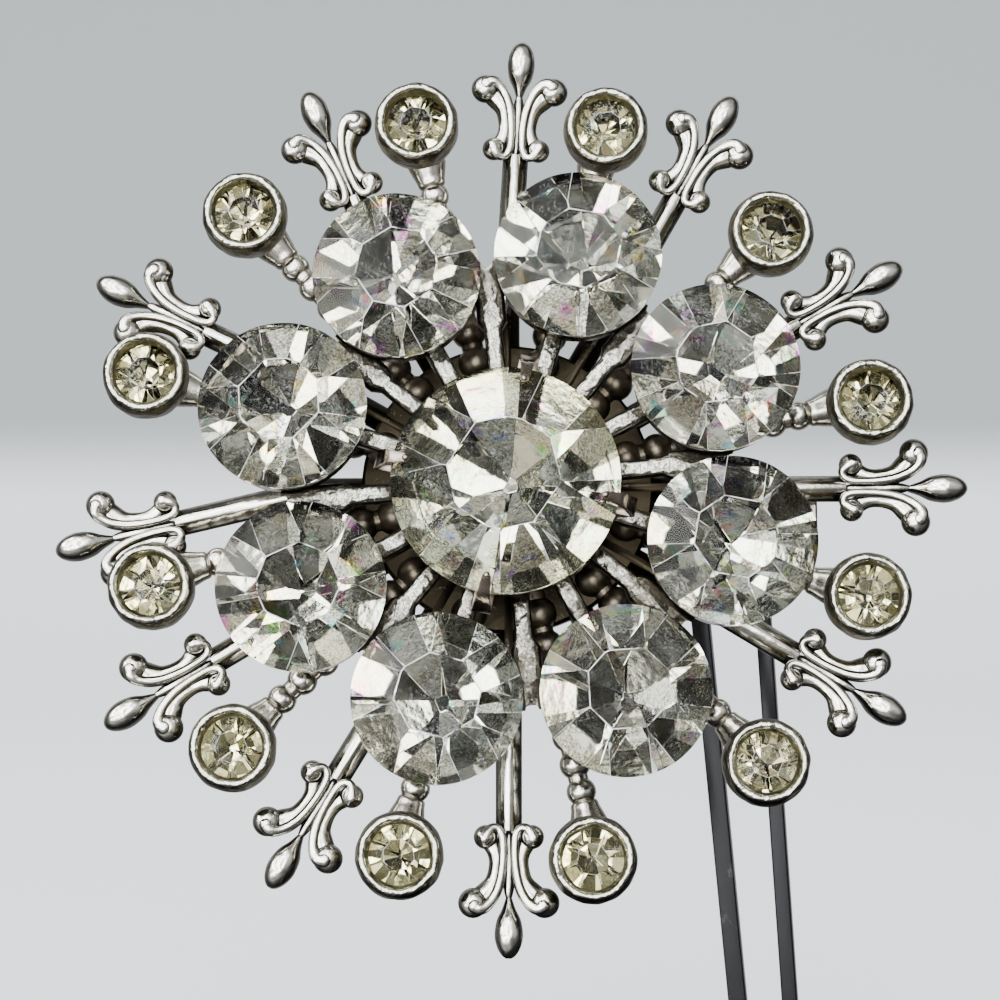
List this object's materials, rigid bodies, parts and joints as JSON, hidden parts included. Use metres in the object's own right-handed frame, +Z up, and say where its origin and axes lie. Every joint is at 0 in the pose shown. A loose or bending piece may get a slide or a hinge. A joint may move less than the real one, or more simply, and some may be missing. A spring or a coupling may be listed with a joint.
{
  "type": "snowflake brooch on a two-pronged stand",
  "caption": "Snowflake brooch with cut crystals in cups, fleur-de-lis arm ends and beaded stems, one arm end missing, hung by its pin on a plain stand with dark prongs.",
  "frame": {"origin": "centre of the underside of the stand's round base, on the surface it stands on", "axes": "+Z up, the brooch's face looks along -Y and leans back ten degrees at its top, +X to the right as seen from the front"},
  "size_m": [0.0857, 0.064, 0.0843],
  "materials": {
    "aged_silver": "silver-tone plate, darkened in its recesses",
    "bright_silver": "bright silver-tone plate with light wear",
    "clear_crystal": "cut and polished, with worn facet edges",
    "yellowed_rhinestone": "cut and polished, foil behind it yellowed",
    "dark_steel": "dark, satin"
  },
  "bodies": {
    "root": {"base_star": "aged_silver", "upper_star": "bright_silver", "centre_setting": "bright_silver", "centre_crystal": "clear_crystal", "crystal_1": "clear_crystal", "crystal_2": "clear_crystal", "crystal_3": "clear_crystal", "crystal_4": "clear_crystal", "crystal_5": "clear_crystal", "crystal_6": "clear_crystal", "crystal_7": "clear_crystal", "crystal_8": "clear_crystal", "rhinestone_1": "yellowed_rhinestone", "rhinestone_2": "yellowed_rhinestone", "rhinestone_3": "yellowed_rhinestone", "rhinestone_4": "yellowed_rhinestone", "rhinestone_5": "yellowed_rhinestone", "rhinestone_6": "yellowed_rhinestone", "rhinestone_7": "yellowed_rhinestone", "rhinestone_8": "yellowed_rhinestone", "rhinestone_9": "yellowed_rhinestone", "rhinestone_10": "yellowed_rhinestone", "rhinestone_11": "yellowed_rhinestone", "rhinestone_12": "yellowed_rhinestone", "pin_clasp": "aged_silver", "prong_left": "dark_steel", "prong_right": "dark_steel", "stand_base": "dark_steel"}
  },
  "joints": []
}
